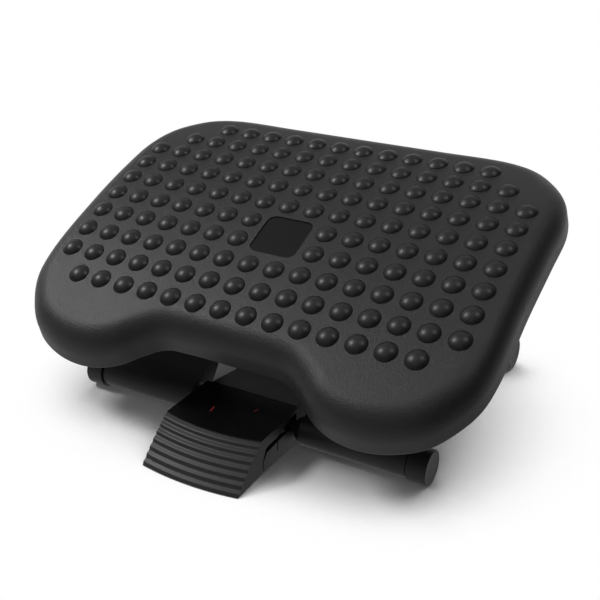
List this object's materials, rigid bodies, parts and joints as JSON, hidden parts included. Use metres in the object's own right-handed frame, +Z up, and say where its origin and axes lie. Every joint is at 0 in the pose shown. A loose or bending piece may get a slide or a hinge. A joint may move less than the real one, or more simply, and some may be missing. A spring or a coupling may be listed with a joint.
{
  "type": "tilting under desk footrest",
  "caption": "Under desk footrest with a domed tilting deck on a swinging leg, a ribbed release pedal at the front and two round foot bars.",
  "frame": {"origin": "on the floor, under the middle of the footrest's box in the pose of the picture", "axes": "+X across to the user's right, +Y from the user towards the wall, +Z up"},
  "size_m": [0.4566, 0.3484, 0.2185],
  "materials": {
    "deck_plastic": "fine grained matt black moulding with a soft sheen",
    "gloss_black_plastic": "smooth satin to glossy black moulding",
    "frame_plastic": "matt black moulding",
    "black_rubber": "matt black rubber",
    "friction_fibre": "dull brown friction lining",
    "black_steel": "black powder coated steel",
    "zinc_steel": "bright zinc plated steel"
  },
  "bodies": {
    "base": {"axle_bush_left": "black_rubber", "axle_bush_right": "black_rubber", "base_pad_1": "black_rubber", "base_pad_2": "black_rubber", "base_pad_3": "black_rubber", "base_pad_4": "black_rubber", "base_spine": "frame_plastic", "clamp_screw_1": "zinc_steel", "clamp_screw_2": "zinc_steel", "front_cap_left": "black_rubber", "front_cap_right": "black_rubber", "lever_pin": "zinc_steel", "lever_spring": "zinc_steel", "pedal_base": "frame_plastic", "pedal_pin": "zinc_steel", "rear_cap_left": "black_rubber", "rear_cap_right": "black_rubber", "rear_tube": "black_steel", "spine_screw_1": "zinc_steel", "spine_screw_2": "zinc_steel", "spine_screw_3": "zinc_steel", "spine_screw_4": "zinc_steel"},
    "leg": {"axle_pin_left": "zinc_steel", "axle_pin_right": "zinc_steel", "brake_drum": "zinc_steel", "drum_pin": "zinc_steel", "front_axle": "black_steel", "leg_shell": "frame_plastic", "pivot_nut_left": "zinc_steel", "pivot_nut_right": "zinc_steel", "pivot_rod": "zinc_steel"},
    "deck": {"badge_plate": "gloss_black_plastic", "bracket_screw_left_1": "zinc_steel", "bracket_screw_left_2": "zinc_steel", "bracket_screw_right_1": "zinc_steel", "bracket_screw_right_2": "zinc_steel", "deck_bracket_left": "black_steel", "deck_bracket_right": "black_steel", "deck_shell": "deck_plastic", "friction_washer_left": "friction_fibre", "friction_washer_right": "friction_fibre"},
    "pedal": {"pedal_cover": "gloss_black_plastic", "pedal_spring_left": "zinc_steel", "pedal_spring_right": "zinc_steel"},
    "brake_lever": {"brake_lever": "frame_plastic", "brake_shoe": "friction_fibre"}
  },
  "joints": [
    {"name": "leg_swing", "type": "hinge", "parent": "base", "child": "leg", "pos_m": [0, -0.07257, 0.0161], "axis": [1, 0, 0], "range_deg": [-15, 0]},
    {"name": "deck_tilt", "type": "hinge", "parent": "leg", "child": "deck", "pos_m": [0, 0.02263, 0.14618], "axis": [1, 0, 0], "range_deg": [-22, 4]},
    {"name": "pedal_press", "type": "hinge", "parent": "base", "child": "pedal", "pos_m": [0, -0.15017, 0.008], "axis": [1, 0, 0], "range_deg": [-3, 0], "stiffness_Nm_per_rad": 6, "springref_deg": 1.72, "deforming": ["pedal_spring_left", "pedal_spring_right"]},
    {"name": "lever_turn", "type": "hinge", "parent": "base", "child": "brake_lever", "pos_m": [0, -0.09617, 0.009], "axis": [1, 0, 0], "range_deg": [0, 7.8]}
  ],
  "couplings": [
    {"joint": "lever_turn", "follows": "pedal_press", "ratio": -2.6}
  ]
}
